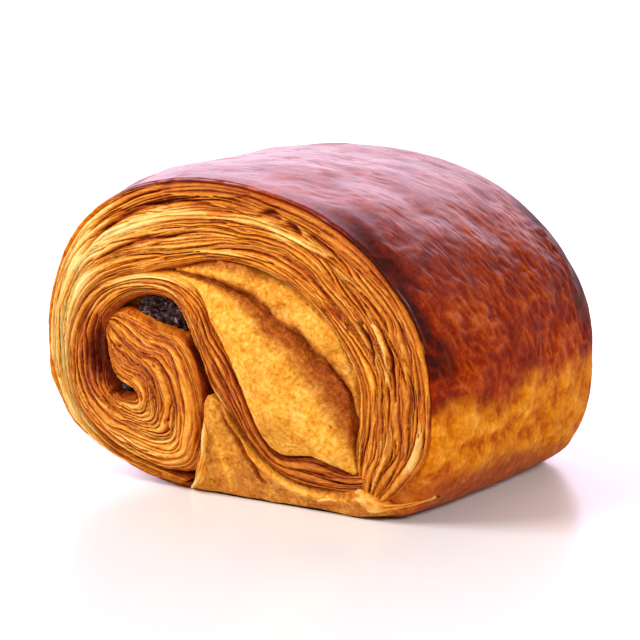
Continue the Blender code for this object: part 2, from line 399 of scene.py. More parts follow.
# %% Outline of the roll
RIM_Y = 37.0
DOME = 6.0
BELLY_WIDTH, BELLY_HEIGHT, BELLY_POWER = 0.064, 0.038, 2.4
RIM = [(27, 0), (37, 1.5), (42.3, 9), (43.4, 22), (40.5, 36), (31, 48.5), (18, 57), (2, 61.2), (-14, 61.4),
       (-28, 57), (-38.5, 47.5), (-43.4, 33), (-42, 18), (-35, 8.5), (-22, 2.6), (-10, 0), (8, 0)]
FACE_MIDDLE = np.array([0.0, 30.0])
SWELLINGS = {-1: [((-14, 24), 11, 2.2), ((13, 22), 9, 2.4)], 1: [((-17, 26), 12, 2.0), ((18, 28), 10, 1.2)]}


def rim_loop(count):
    """The rim as x and z, flat along the base."""
    loop = spline(RIM, count, closed=True)
    loop[:, 1] = np.maximum(loop[:, 1], 0)
    return loop


def reach_from(middle, toward, count=400):
    """Distance from a place on an end to the rim, at an angle: looked up between the rim's own points."""
    loop = rim_loop(count) - middle
    angle = np.arctan2(loop[:, 1], loop[:, 0])
    order = np.argsort(angle)
    return np.interp(toward, angle[order], np.hypot(loop[:, 0], loop[:, 1])[order], period=2 * math.pi)


def rim_share(x, z):
    """How far a place on an end lies from its middle, as a share of the distance to the rim that way."""
    dx, dz = x - FACE_MIDDLE[0], z - FACE_MIDDLE[1]
    return np.hypot(dx, dz) / reach_from(FACE_MIDDLE, np.arctan2(dz, dx))


def stands_out(x, z, side):
    """How far an end stands out past its rim: a dome, 1 - share squared, with bell-shaped swellings."""
    out = DOME * (1 - rim_share(x, z) ** 2)
    for middle, radius, height in SWELLINGS[side]:
        out = out + height * np.exp(-((np.hypot(x - middle[0], z - middle[1]) / radius) ** 2))
    return out


def heel(x, z):
    """How much the crust is rounded under at a place of the rim: 1 at the foot of the tail side."""
    return bump(x, 38, 9) * bump(z, 4, 7)


print("rim in mm:", np.ptp(rim_loop(400), axis=0).round(1), "wide and tall")

# %% [markdown]
# The crust's grid is a stack of rings. Both ends of the stack are lips, and the last ring of each lies
# hidden inside the roll, where it closes the piece. Between the lips the same outline is repeated and
# swollen towards the middle.


# %% Rings of the crust
AROUND = 400
ALONG = 212
LIP_STEPS = 7
LIP_Y = RIM_Y + 0.3
BACKING_Y = 29.0
LIP_RADIUS, HEEL_RADIUS = 0.45, 4.4


def crust():
    """Rings from a hidden backing inside one end, round its lip, along the side and in at the other end.
    The lip is a quarter circle, a little ragged, and steps back along the base, where the ends' own leaves
    stand on the tray. The swelling is 1 - |way along|^p times the belly's share of the width and of the
    height."""
    loop = rim_loop(AROUND)
    before, after = np.roll(loop, 1, axis=0), np.roll(loop, -1, axis=0)
    tangent = after - before
    inward = np.stack([-tangent[:, 1], tangent[:, 0]], axis=1) / np.linalg.norm(tangent, axis=1)[:, None]
    u = np.linspace(0, 1, AROUND, endpoint=False)
    x, z = loop[:, 0], loop[:, 1]
    turned_under = heel(x, z)
    uneven = closed_noise(u, 22, 0.5, 61, 3)
    radius = LIP_RADIUS + 0.25 * uneven + HEEL_RADIUS * turned_under
    ragged = 0.35 * closed_noise(u, 45, 0.5, 65, 3) * (1 - turned_under) - 1.5 * smooth(z, 1.6, 0.2)

    def ring(inset, y):
        """The outline moved inwards, at one or several y."""
        return np.column_stack([x + inward[:, 0] * inset, y + 0 * x, z + inward[:, 1] * inset])

    lips = []
    deeper = radius + 0.7 + 2.5 * turned_under
    middle = FACE_MIDDLE + 0.02 * (loop - FACE_MIDDLE)
    for side in (-1, 1):
        lip = []
        for a in np.linspace(0, math.pi / 2, LIP_STEPS):
            back = radius * (1 - math.sin(a))
            lip.append(ring(radius * (1 - math.cos(a)), side * (LIP_Y - back + ragged)))
        lip += [ring(deeper, side * (RIM_Y - 0.2)), ring(deeper, side * BACKING_Y)]
        lip.append(np.column_stack([middle[:, 0], np.full(AROUND, side * BACKING_Y), middle[:, 1]]))
        lips.append(lip)
    wall = [ring(0, k * (LIP_Y - radius)) for k in np.linspace(-1, 1, ALONG + 2)[1:-1]]
    grid = np.array(lips[0][::-1] + wall + lips[1])
    k = np.clip(grid[..., 1] / RIM_Y, -1, 1)
    swell = 1 - np.abs(k) ** BELLY_POWER
    grid[..., 0] *= 1 + BELLY_WIDTH * swell
    grid[..., 2] *= 1 + BELLY_HEIGHT * swell
    return grid, u, inward


# %% [markdown]
# The top has shrunk in fine slanting ripples as it cooled, and the bare side is cragged with blisters. A
# displacement texture could raise them, but here the same numbers also paint a highlight on each ripple's
# ridge and shade in its trough, and lighten the blisters.


# %% Relief of the crust
GIRTH = 245.0
SLANT = 0.5


def crust_relief(grid, u):
    """Broad unevenness, ripples, and crags on the bare side. The ripples are ridges, (1 - |noise|)^2, 2.4
    mm long round the roll and 2.1 mm apart, with a finer set of 1.6 by 1.4 mm. They slant half a millimetre
    along the roll for each millimetre round it. The crags are 1 - |noise|, with pits between."""
    y = grid[..., 1]
    broad = 0.55 * closed_noise(u, 10, y / 26, 11, 2)
    bent = y + SLANT * GIRTH * u + 1.5 * closed_noise(u, 50, y / 6, 29)
    ridges = (1 - np.abs(closed_noise(u, 104, bent / 2.1, 23))) ** 2
    finer = (1 - np.abs(closed_noise(u, 150, bent / 1.4 + 40, 25))) ** 2
    ripple = ridges * (0.55 + 0.6 * closed_noise(u, 40, y / 6, 27)) + 0.4 * finer
    ripple = 1.15 * ripple + 0.25 * closed_noise(u, 60, y / 4.5, 33, 2) - 0.2
    broad = broad + 0.4 * closed_noise(u, 26, y / 10, 35, 2)
    crags = 1 - np.abs(closed_noise(u, 70, y / 7.5, 31, 4)) * 1.6
    crags = 0.5 * crags + 0.5 * closed_noise(u, 110, y / 4.0, 37, 4)
    return broad, ripple, np.clip(crags, -0.6, 1)


grid, u, inward = crust()
u = u[None, :]
broad, ripple, crags = crust_relief(grid, u)
print("ripples span", np.ptp(ripple).round(2), "mm before they are scaled")

# %% [markdown]
# The zones are painted by place. The wash ends at a wandering line about 21 mm up and is missing from the
# lip at the low end of the tail side. The foot is the lowest 5 to 11 mm. Beside the rim the glaze has baked
# nearly black, and dry spots and the back of the top shine less.

# %% Zones of the crust
WASH_HEIGHT = 21.5
height, y = grid[..., 2], grid[..., 1]
edge_of_wash = WASH_HEIGHT + 2.2 * noise(y / 14, 0.5, 41) + 1.2 * noise(y / 4.5, 0.5, 42)
edge_of_wash = edge_of_wash + 2.5 * smooth(y, -30, 30) + 0.9 * (crags - 0.4)
wash = smooth(height, edge_of_wash - 3.4, edge_of_wash + 3.0)
bare_lip = smooth(-y, RIM_Y - 3.0, RIM_Y - 1.0) * smooth(grid[..., 0], -24, -34)
wash = wash * (1 - bare_lip)
foot = 1 - smooth(height + 0.08 * y + 1.5 * noise(y / 6, u * 30, 43), 5.0, 11.5)
foot = foot * (1 - 0.35 * smooth(np.abs(y), RIM_Y - 4.0, RIM_Y - 1.0))
print("washed share of the crust:", wash.mean().round(2))

# %% [markdown]
# Before the relief is applied it is calmed where the dough was stretched tight, on the very top, and it is
# held still along the base and the rims, so that the crust meets the tray and the leaves.

# %% Crust piece
free = smooth(height, 0.2, 6.0) * smooth(np.abs(y), RIM_Y - 0.5, RIM_Y - 6.0)
calm = 1 - 0.7 * smooth(height, 42, 58)
blisters = (1 - wash) * (1 - 0.8 * foot) * 0.7 * (crags - 0.3)
lift = free * (broad + 0.42 * wash * calm * (ripple - 0.5) + blisters)
grid[..., 0] -= inward[None, :, 0] * lift
grid[..., 2] -= inward[None, :, 1] * lift
near_rim = smooth(np.abs(y) + 2.5 * closed_noise(u, 40, y / 5, 53), RIM_Y - 9, RIM_Y - 1)
near_rim = near_rim * smooth(height, 20, 34) * smooth(height, 60, 50) * smooth(grid[..., 0], -6, 12)
shaded_side = smooth(grid[..., 0], -20, -40)
dark = 0.3 + 0.2 * closed_noise(u, 16, y / 16, 51, 2) + 0.8 * near_rim + 0.15 * shaded_side
dark = np.clip(dark, 0, 1)
dry = smooth(closed_noise(u, 44, y / 5, 55), 0.35, 0.8)
glaze = wash * (0.04 + 0.88 * smooth(height, 28, 56)) * (1 - 0.5 * near_rim * (height > 48))
glaze = glaze * (1 - 0.4 * dry) * (1 - 0.3 * smooth(y, -5, 30))
# On the glaze: a painted highlight on each ripple's ridge and painted shade in its trough; on the bare side:
# the crags
crag_and_ripple_light = (1 - wash) * crags + wash * (0.4 + 0.6 * calm) * (ripple - 0.3)
tube("crust", grid, {"wash": wash, "foot": foot, "dark": dark, "crag_and_ripple_light": crag_and_ripple_light, "glaze": glaze}, CRUST)

# %% [markdown]
# ## Strips of leaves
#
# At an end, the rolled sheet is seen edge on as a band of leaves that winds inwards. Such a band is a ruled
# strip: an inner and an outer edge, drawn by a few pairs of points, with the leaves running between them.
# Across the strip, each leaf has its own thickness, height and tilt, which change slowly along it, so that
# leaves widen, thin out and vanish as real ones do. Between two leaves lies a groove that opens and closes.
# Hundreds of loose sheets could be modelled instead, but they would cut through each other, and one height
# over the strip can't.


# %% A ruled strip
def strip(stations, rows, columns, margin=0.8):
    """Places across a strip, from a margin inside its inner edge to a margin past its outer edge. Returns x
    and z, the millimetres along and across (0 at the inner edge), and the width of each row."""
    lines = spline(stations, rows)
    inner, outer = lines[:, None, :2], lines[:, None, 2:]
    width = np.linalg.norm(outer - inner, axis=2)
    across = -margin + (width + 2 * margin) * np.linspace(0, 1, columns)[None, :]
    places = inner + (outer - inner) * (across / width)[..., None]
    middle = (lines[:, :2] + lines[:, 2:]) / 2
    along = np.concatenate([[0], np.cumsum(np.linalg.norm(np.diff(middle, axis=0), axis=1))])[:, None]
    return places[..., 0], places[..., 1], along + 0 * across, across, width


def tuck(across, width, deep, inner_reach=0.8, outer_reach=0.8):
    """How far a strip sinks along its two edges, so that neighbours meet in a groove: deep times the square
    of the share of the way from the reach inside an edge to the reach outside it."""
    inside = np.clip((inner_reach - across) / (2 * inner_reach), 0, 1)
    outside = np.clip((outer_reach - (width - across)) / (2 * outer_reach), 0, 1)
    return -deep * (inside**2 + outside**2)


def leaves(along, across, width, thickness, seed, groove=1.0, tilt=0.7, own=0.5, wander=0.9):
    """Heights of the leaves across a strip, with how far out each edge stands, how browned and how pale it
    is. A leaf's thickness is its base value times e to the power of slow noise; where the strip is too
    narrow for all, two of three thin out to nothing. Its height is its own level, plus tilt times the way
    across it, plus a ridge 1 - |2 way - 1|^p, less the grooves on both sides, each e to the -distance, plus
    strands 0.36 mm wide that run along it. Thick leaves have flatter ridges."""
    count = thickness.shape[-1]
    k = np.arange(count)[None, :]
    row = along[:, :1]
    room = smooth(width / count, 0.3, 0.7)
    changing = thickness * np.exp(1.2 * noise(row / 19, k * 5.7 + 0.5, seed))
    changing = changing * np.where(k % 3 == 0, 1, 0.02 + room)
    edges = np.concatenate([0 * row, np.cumsum(changing, axis=1)], axis=1)
    edges /= edges[:, -1:]
    share = across / width
    bend = noise(along / 21, share * 3, seed + 1) + 0.9 * noise(along / 7.5, share * 6, seed + 2)
    bend = wander / count * (bend + 0.55 * noise(along / 3.2, share * 11, seed + 3))
    share = np.clip(share + bend * np.sin(math.pi * np.clip(share, 0, 1)), 0, 0.99999)
    leaf = np.sum(share[..., None] >= edges[:, None, 1:-1], axis=-1)
    start = np.take_along_axis(edges, leaf, axis=1)
    end = np.take_along_axis(edges, leaf + 1, axis=1)
    way = (share - start) / (end - start)
    thick = (end - start) * width
    reach = np.clip(0.2 * thick, 0.03, 0.17)
    opened = [smooth(noise(along / 11, edge * 7.31 + 0.5, seed + 4), -0.5, 0.6) for edge in (leaf, leaf + 1)]
    gap = opened[0] * (leaf > 0) * np.exp(-way * thick / reach)
    gap = gap + opened[1] * (leaf < count - 1) * np.exp(-(1 - way) * thick / reach)
    ridge = 1 - np.abs(2 * way - 1) ** (1.3 + 1.2 * np.clip(thick - 0.8, 0, 2))
    level = noise(along / 20, leaf * 5.33 + 0.5, seed + 6)
    level = level + 0.5 * noise(along / 5, leaf * 2.9 + 0.5, seed + 7)
    lean = tilt * noise(along / 17, leaf * 3.77 + 0.5, seed + 5) * np.clip(thick, 0, 1.5) * (way - 0.5)
    height = own * level + lean + 0.45 * np.clip(thick, 0, 1.1) * ridge - groove * gap
    strand = noise(along / 5, across / 0.36, seed + 8)
    height = height + 0.13 * strand + 0.07 * noise(along / 0.9, across / 0.5, seed + 9)
    # crest paints a highlight along each leaf's ridge and shade in the open grooves beside it
    crest = 0.22 + 0.5 * ridge + 0.12 * level + 0.15 * strand - 0.45 * np.clip(gap, 0, 1)
    browned = 0.5 + 0.7 * noise(along / 16, leaf * 9.17 + 0.5, seed + 10)
    pale = 0.6 * smooth(noise(along / 10, leaf * 6.13 + 0.5, seed + 11), 0.35, 0.8)
    return height, crest, browned, pale


def flaked(along, across, width, seed, count, **shape):
    """Two packs of leaves, one over the other. The upper one shows only where slow noise lifts it, and ends
    in torn edges, because finer noise is added before the threshold. A grain of about a tenth of a
    millimetre lies over both."""
    lower = leaves(along, across, width, thicknesses(count, seed + 20), seed, **shape)
    upper = leaves(along, across, width, thicknesses(count, seed + 40), seed + 50, **shape)
    share = across / width
    sheet = noise(along / 16, share * 0.3 * count, seed + 60)
    sheet = sheet + 0.25 * noise(along / 4, share * count, seed + 61)
    sheet = sheet + 0.1 * noise(along / 0.9, share * 3 * count, seed + 62)
    cover = smooth(sheet, 0.12, 0.22)
    height = lower[0] + cover * (np.maximum(upper[0] + 0.25, lower[0] + 0.1) - lower[0])
    crest, browned, pale = (a + cover * (b - a) for a, b in zip(lower[1:], upper[1:]))
    return height + 0.12 * rough(along / 0.9, across / 0.5, seed + 70, 2), crest, browned, pale


def thicknesses(count, seed, low=0.25, high=2.0):
    """Base thicknesses of the leaves of a strip, thin along its edges, in no unit: only their shares
    matter."""
    made = np.random.default_rng(seed).uniform(low, high, (1, count))
    made[0, [0, -1]] = low
    return made


# %% [markdown]
# Some folds of this roll are no accident of noise: wide pale leaves, splits and hollows that the eye picks
# out. Each is a short curve with a half width and a height, negative for a split. They are added wherever
# they cross a strip.


# %% Marked folds
FOLD_POINTS = 160


def marked(x, z, folds):
    """What the marked folds add at each place, as a height, a paleness and a split. The height is that of
    the fold times e to the -(distance / half width)^2, fading at the fold's two ends. Only places near a
    fold are measured."""
    height, pale, split = np.zeros_like(x), np.zeros_like(x), np.zeros_like(x)
    for points, half, rise in folds:
        line = spline(points, FOLD_POINTS)
        limit = np.ptp(line, axis=0) / 2 + 3 * half
        centre = line.mean(axis=0)
        near = (np.abs(x - centre[0]) < limit[0]) & (np.abs(z - centre[1]) < limit[1])
        if not near.any():
            continue
        distance = np.hypot(x[near][:, None] - line[:, 0], z[near][:, None] - line[:, 1])
        at = distance.argmin(axis=1)
        fade = np.sin(math.pi * (0.06 + 0.88 * at / (FOLD_POINTS - 1))) ** 0.6
        amount = fade * np.exp(-((distance.min(axis=1) / (half * (0.4 + 0.6 * fade))) ** 2))
        height[near] += rise * amount
        if rise > 0:
            pale[near] = np.maximum(pale[near], amount)
        else:
            split[near] = np.maximum(split[near], amount)
    return height, pale, split


# %% [markdown]
# A strip is then stood on the domed end and given a plain back inside the roll. That closes it, and no gap
# shows where two strips meet, because their edges sink in beside each other.


# %% From a strip to a piece
def face_strip(name, side, x, z, height, values, along, across, material, back=BACKING_Y + 1.0):
    """A flat tube whose front stands out of an end by rim + dome + height, and whose back is flat."""
    y = side * (RIM_Y + stands_out(x, z, side) + height)
    front = np.stack([x, y, z], axis=-1)
    edges = front[:, [-1, 0]].copy()
    edges[..., 1] = side * back
    grid = np.concatenate([front, edges], axis=1)
    closed = {key: np.concatenate([value, value[:, [-1, 0]]], axis=1) for key, value in values.items()}
    uv = [np.concatenate([part, part[:, [-1, 0]]], axis=1) for part in (along, across)]
    tube(name, grid, closed, material, along_across=uv)


def to_rim(stations):
    """Moves the outer points of a strip to just inside the crust's lip, seen from the middle of the end."""
    stations = np.array(stations, float)
    x, z = stations[:, 2], stations[:, 3]
    reach = 1 / rim_share(x, z)
    inset = 0.7 + 4.8 * heel(x, z)
    out = stations[:, 2:] - FACE_MIDDLE
    length = np.linalg.norm(out, axis=1)
    stations[:, 2:] = FACE_MIDDLE + out * (reach - inset / length)[:, None]
    return stations


# %% [markdown]
# The shown end has two turns. The outer one is a wide band from the knot at the foot of the pocket, over
# the top and down round the tail side. The inner one starts at the same knot as a narrow strap, passes over
# the upper stick and ends in the core, where it folds back round the inner stick. Their edges are drawn
# after the photograph, because no spiral bends as this roll does.

# %% The two turns of the shown end
OUTER_TURN = [
    (29.5, 6.2, 32, 4.8), (28.6, 9.5, 36.5, 8.5), (28.2, 14, 40.2, 14.5), (28.9, 20, 42.6, 21.5),
    (28.3, 27, 41.9, 29), (24.5, 33.8, 38.8, 37.5), (19, 39.8, 33.2, 45.2), (12, 44.2, 25, 52.2),
    (4, 46.6, 15, 57.5), (-5, 46.6, 3, 60.4), (-13, 44.6, -8.5, 61), (-19, 42.8, -19, 59.6),
    (-25.5, 41, -28.5, 55.9), (-32.8, 37.3, -36, 49.2), (-36.9, 30, -41, 40.7), (-37.4, 22, -42.8, 31),
    (-35.4, 14, -42.2, 21.5), (-30, 8.4, -38.4, 12.8), (-22.5, 4.9, -30.5, 6.5), (-15, 3.3, -20.5, 2.9),
    (-9, 2.2, -11.5, 0.9),
]
INNER_TURN = [
    (31, 5.6, 30.5, 9.5), (24, 4.8, 26, 9), (16, 5, 20, 11), (11, 7.5, 13, 10.3), (6, 12.3, 9.8, 14),
    (2.5, 17.5, 6.5, 21), (-1.5, 22.5, 2.5, 28), (-4.2, 28, -1.5, 33), (-8, 34.5, -5, 39),
    (-12, 38.3, -11, 42.3), (-17, 39, -18, 42.5), (-22.5, 37.8, -25, 40.8), (-27.5, 34, -32.5, 37),
    (-30.8, 28.5, -36.8, 29.5), (-30.3, 22.5, -37.3, 21.5), (-27.2, 18.3, -35, 14),
    (-24, 16.8, -29.5, 8.6), (-21.5, 16.9, -22, 5.2), (-19.5, 17.3, -14, 3.6), (-18.8, 18, -7.5, 5.5),
    (-18.7, 18.6, -4.6, 12), (-19, 19.2, -4, 19), (-20, 19.8, -5.3, 26), (-21.8, 20.2, -8.5, 30.8),
    (-23.8, 21, -14, 32), (-25.6, 23.2, -19.5, 33.5), (-26.8, 26.5, -24, 34.2), (-27.3, 30, -26.3, 33.2),
]
SHOWN_FOLDS = [
    ([(-36, 41.5), (-30, 47.3), (-25, 50.6), (-20, 53), (-14, 54.8), (-7, 55)], 1.5, 0.7),
    ([(0, 55), (6, 55), (10, 53.2), (15, 52), (20, 50)], 0.9, 0.6),
    ([(29, 40), (32, 36), (33.5, 31), (34.5, 27)], 0.35, 0.3),
    ([(-33.5, 49), (-31, 51.5), (-28, 53.5), (-26, 54)], 0.4, -0.9),
    ([(-36, 43), (-32, 47.8), (-28, 51.4), (-22, 54.6), (-14, 57), (-6.5, 57.2)], 0.55, -1.8),
    ([(-30, 44.5), (-25, 47), (-20, 49), (-15, 50), (-8, 51.8)], 0.4, -1.2),
    ([(4.5, 56), (7, 56.8), (9.2, 56)], 0.7, -1.5),
    ([(10.5, 55.3), (12.4, 54.5), (14, 53)], 0.6, -1.5),
    ([(14.5, 54.4), (18, 52.4), (21, 50.6)], 0.35, -1.1),
    ([(31, 38.5), (33.4, 34.5), (35, 30), (36, 24)], 0.34, -1.9),
    ([(27.5, 38.5), (30.2, 34.5), (31.3, 30.5)], 0.36, -1.6),
    ([(-30.2, 32), (-31.6, 27), (-30.8, 23), (-28.3, 20.8), (-25, 18.6)], 1.5, -3.4),
    ([(-26, 17.8), (-22, 18.2), (-19, 18.4)], 0.8, -7.0),
    ([(-8.5, 33), (-6, 28.5), (-4, 24), (-3.4, 20)], 0.5, -1.8),
    ([(-3.8, 17), (-4.8, 12), (-4.8, 8), (-4.2, 5)], 0.9, -3.0),
    ([(-30, 38.6), (-25, 40.4), (-19, 42), (-12, 42.3), (-7, 41)], 0.7, 0.5),
    ([(-1.3, 22.5), (0.5, 20), (2.5, 16), (4.5, 13), (7, 10), (10, 8)], 0.5, 0.7),
]


def shown_turn(name, stations, columns, seed, count, zone_of, **shape):
    """A turn of leaves with its marked folds. Its zone browns it where it is above 0 and pales it where
    below, which on the outer turn's left is painted light. Its splits are painted darker, as shade."""
    x, z, along, across, width = strip(stations, 560, columns)
    height, crest, browned, pale = flaked(along, across, width, seed, count, **shape)
    rise, fold_pale, split = marked(x, z, SHOWN_FOLDS)
    height = height * (1 - 0.5 * fold_pale) + rise + tuck(across, width, 2.5)
    zone = zone_of(x, z)
    hot, pale_and_painted_light = np.clip(zone, 0, 1), np.clip(-zone, 0, 1)
    # Below 0 the zone makes the leaves paler with lighter crests; on the outer turn's left that is painted
    # light
    pale = np.clip(np.maximum(pale - 1.2 * hot, fold_pale) + 0.5 * pale_and_painted_light, 0, 1) * (1 - split)
    toast_light_and_shade = np.clip(0.05 + 0.5 * browned + zone, 0, 1) * (1 - 0.9 * fold_pale)
    # Splits are painted darker and never pale, as shade in the gaps
    crest = np.clip(crest + 0.2 * fold_pale + 0.25 * pale_and_painted_light - 0.6 * split, 0, 1)
    face_strip(name, -1, x, z, height, {"crest": crest, "toast_light_and_shade": toast_light_and_shade, "pale": pale}, along, across, LEAVES)


def outer_zone(x, z):
    """The outer turn is painted paler at the left and top left, as painted light on the side that the key
    light falls on, and browned along the top of the rim."""
    rim = smooth(rim_share(x, z), 0.80, 0.97) * smooth(x, -34, -20) * smooth(z, 28, 44)
    # Painted light: paler towards the left and top left, where the key light falls
    painted_light_left = 0.95 * smooth(x, -26, -37) + 0.15 * bump(x, -22, 12) * bump(z, 50, 6)
    return 0.5 * rim - painted_light_left + 0.08 * smooth(x, 16, 26)


def inner_zone(x, z):
    """The lower half of the strap below the pocket is well browned, and so are the leaves beside and in the
    core."""
    strap = smooth(x, -3, 7) * smooth(z, 32, 16) + 0.35 * smooth(x, 8, 14) * smooth(z, 15, 10)
    strap_edge = 0.35 * smooth(x, -9, -3) * smooth(z, 41, 36)
    beside = bump(x, -33, 3.5) * bump(z, 25, 10)
    core = 0.4 * bump(x, -15, 8) * bump(z, 25, 7) - 0.3 * bump(x, -15, 10) * bump(z, 11, 7)
    return 0.7 * strap + strap_edge + 0.4 * beside + core


shown_turn("outer_turn_shown", to_rim(OUTER_TURN), 170, 105, 32, outer_zone)
shown_turn("inner_turn_shown", INNER_TURN, 160, 151, 25, inner_zone, groove=0.8, own=0.3, wander=1.4)

# %% [markdown]
# ## The steam pocket
#
# Beside the coil a pocket of steam has swollen. Two skins meet in a dark valley: the big smooth bulge below
# it and a narrow, grainier ledge above it, under the outer turn. A blown-up sheet could be simulated, but
# two ruled strips with a rounded height meet their neighbours exactly, and they make the valley where they
# sink in.

# %% Pocket skins
BULGE = [
    (-12, 42.2, -11.5, 43.2), (-6, 39.8, -5, 42.6), (-1.8, 33.5, 1, 41.6), (2, 28.5, 6.5, 39),
    (5.5, 23, 11, 35), (8.2, 17.5, 16.5, 32.5), (10, 13, 21, 28.2), (13, 10.5, 24.8, 23.4),
    (19, 11, 27.4, 17.4), (25.6, 9.2, 28.8, 11.6), (27.2, 8.4, 29.4, 9.6),
]
LEDGE = [
    (-12, 43.4, -13, 44.6), (-5, 43.2, -7, 46), (1, 42.4, 1, 46.8), (7, 40, 8, 45.4), (12, 36.4, 14, 43),
    (17.6, 33.8, 19, 39.5), (22.4, 29.4, 24, 34.5), (26, 24.4, 28, 28), (28, 18.4, 29, 20),
    (28.4, 11.4, 29, 12.4),
]


def skin_strip(name, stations, rows, columns, swell, lumps, seed, toast_light_and_shade_of, deep=2.5, folds=(),
               inner_reach=1.2, outer_reach=1.2, sink=0.0):
    """A smooth skin: bulged across by swell times the sine of the way, with lumps."""
    x, z, along, across, width = strip(stations, rows, columns, margin=min(1.2, inner_reach))
    way = np.clip(across / width, 0, 1)
    rise, pale, split = marked(x, z, folds)
    height = swell * np.sin(math.pi * way) ** 0.7 * np.clip(width / 8, 0, 1) + rise - sink
    height = height + tuck(across, width, deep, inner_reach, outer_reach)
    height = height + lumps * (rough(x / 3.2, z / 3.2, seed, 4) + 2.0 * noise(x / 9, z / 9, seed + 9))
    # Splits are painted darker, as shade in the creases
    values = {"toast_light_and_shade": np.clip(toast_light_and_shade_of(x, z, way) + split, 0, 1) * (1 - pale)}
    face_strip(name, -1, x, z, height, values, along, across, SKIN)


def bulge_toast_and_shade(x, z, way):
    """Painted shade in the valley and a little along the other edge, and browned in two round patches."""
    # Painted shade along both edges, deep on the valley side
    edges = 0.95 * smooth(way, 0.76, 0.97) + 0.3 * smooth(way, 0.12, 0.0)
    upper_patch = 0.25 * bump(np.hypot(x - 10, z - 26), 0, 3.5)
    return edges + upper_patch + 0.3 * bump(np.hypot(x - 12, z - 16.5), 0, 3)


def ledge_toast_and_shade(x, z, way):
    """Painted shade in the valley and at its narrow end, in the shadow under the outer turn, and browner
    downwards.
    """
    valley_shade_and_browning = 0.12 + 0.8 * smooth(way, 0.45, 0.0) + 0.3 * smooth(z, 34, 24)
    # Painted shadow where the ledge comes out from under the outer turn
    return valley_shade_and_browning + 0.8 * smooth(way, 0.45, 0.85) * smooth(x, 14, -2)


skin_strip("pocket_bulge_shown", BULGE, 190, 80, 2.6, 0.36, 201, bulge_toast_and_shade, deep=6.5, outer_reach=4.0)
skin_strip("pocket_ledge_shown", LEDGE, 190, 40, 0.5, 0.8, 211, ledge_toast_and_shade, deep=4.0, outer_reach=2.0)

# %% [markdown]
# Round the core the sheet leaves a crescent open. Its wall lies a few millimetres back, fried dark orange,
# and the upper chocolate stick comes through it. It is a skin like the others, only sunk, so the hollow is
# a real one that shades itself.

# %% Wall of the crescent
CRESCENT = [
    (-6.5, 30, -6.5, 35.5), (-12, 31, -12, 39.5), (-17, 32.5, -17.5, 40), (-22, 33, -23.5, 39),
    (-25, 32.5, -28.7, 35), (-25.8, 29, -32, 28.5), (-25.2, 25.5, -31.5, 22.5), (-24, 23, -28.5, 18),
]


def even_toast(x, z, way):
    """The same dark brown all over."""
    return 0.9 + 0 * way


skin_strip("crescent_wall_shown", CRESCENT, 120, 30, 0.0, 0.3, 231, even_toast, deep=0.0, sink=6.2)

# %% [markdown]
# The sheet ends in a tail that lies flat under the coil. It stretched against the tray into one smooth
# skin, with a crease and two soft folds, so it is made like the pocket's skins and not of leaves.

# %% Tail under the coil
TAIL = [
    (-8.5, 0.25, -3.2, 15), (-4, 0.25, -2.5, 20.5), (2, 0.25, 1, 18.5), (8, 0.25, 5, 12.8),
    (13, 0.25, 10, 8), (18, 0.25, 16, 4.8), (24, 0.25, 24, 4.9), (28, 0.3, 28.5, 5.6),
    (31.5, 0.8, 31.5, 4.6), (35, 1.6, 35, 3.6),
]
TAIL_FOLDS = [
    ([(0, 19), (2.5, 15), (4, 12.5), (7, 8), (7.5, 6), (9, 4.5)], 0.6, -1.4),
    ([(-1, 12), (0.5, 8), (1, 4), (0.5, 1)], 0.9, 0.6),
    ([(1.5, 17.5), (4.5, 13.2), (8, 9.3), (12, 6), (17, 3.7), (24, 3.3), (29, 3.8)], 0.9, 0.9),
]


def tail_toast(x, z, way):
    """Half browned, in patches of 5 mm."""
    return 0.5 + 0.3 * noise(x / 5, z / 5, 77)


skin_strip("tail_shown", TAIL, 190, 70, 0.5, 0.35, 221, tail_toast, folds=TAIL_FOLDS, inner_reach=0.25,
           sink=-0.5)

# %% [markdown]
# Two leaves have come loose. One stands up beside the core like a page. The other is the stretched knot at
# the foot of the pocket, where the turns meet, and it runs on round the corner as a thin string. Free
# sheets would need a thickness and an underside that nobody sees, so each is a narrow strip that stands
# proud of the end and sinks into it at both tips.

# %% Loose leaves
LOOSE_LEAVES = {
    "upright_leaf": ([
        (-3.7, 14.6, -2.9, 15.4), (-4.3, 11, -3.0, 11.4), (-5.3, 7, -3.9, 7.4), (-6.8, 3, -5.4, 3.2),
        (-8.9, 0.3, -7.9, 0.6)], 2.0, 0.6),
    "stretched_knot": ([
        (19, 1.6, 19, 3.4), (24, 1.4, 25, 4.6), (28.6, 1.2, 29.4, 6.4), (31.6, 1.4, 32.2, 5.4),
        (34.4, 2.2, 34.8, 4.0), (38.5, 3.5, 38.4, 4.4), (41.5, 4.8, 41.3, 5.4)], 1.2, 0.0),
}


def loose_leaf(name, stations, proud, paleness, seed):
    """A narrow leaf that stands proud of the end along its middle, by proud times the sine of the way
    across."""
    x, z, along, across, width = strip(stations, 150, 26, margin=0.15)
    way = np.clip(across / width, 0, 1)
    strands = noise(along / 4.5, way * 5, seed) + 0.6 * noise(along / 1.4, way * 7, seed + 1)
    height = proud * np.sin(math.pi * way) + 0.3 * strands + 0.4 * noise(along / 3.5, 0.5, seed + 2)
    height = height + tuck(across, width, 2.5, 0.2, 0.2) + tuck(along, along.max(), 6.0, 2.0, 2.0)
    height = height - 0.6 * np.clip(x - 35, 0, None)
    values = {"crest": np.clip(0.55 + 0.3 * strands, 0, 1), "toast_light_and_shade": 0.1 + 0 * x,
              "pale": np.clip(paleness + 0.4 * strands, 0, 1)}
    face_strip(name, -1, x, z, height, values, along, across, LEAVES, back=RIM_Y - 6.0)


for seed, (name, (stations, proud, paleness)) in enumerate(LOOSE_LEAVES.items()):
    loose_leaf(name, stations, proud, paleness, 401 + 10 * seed)

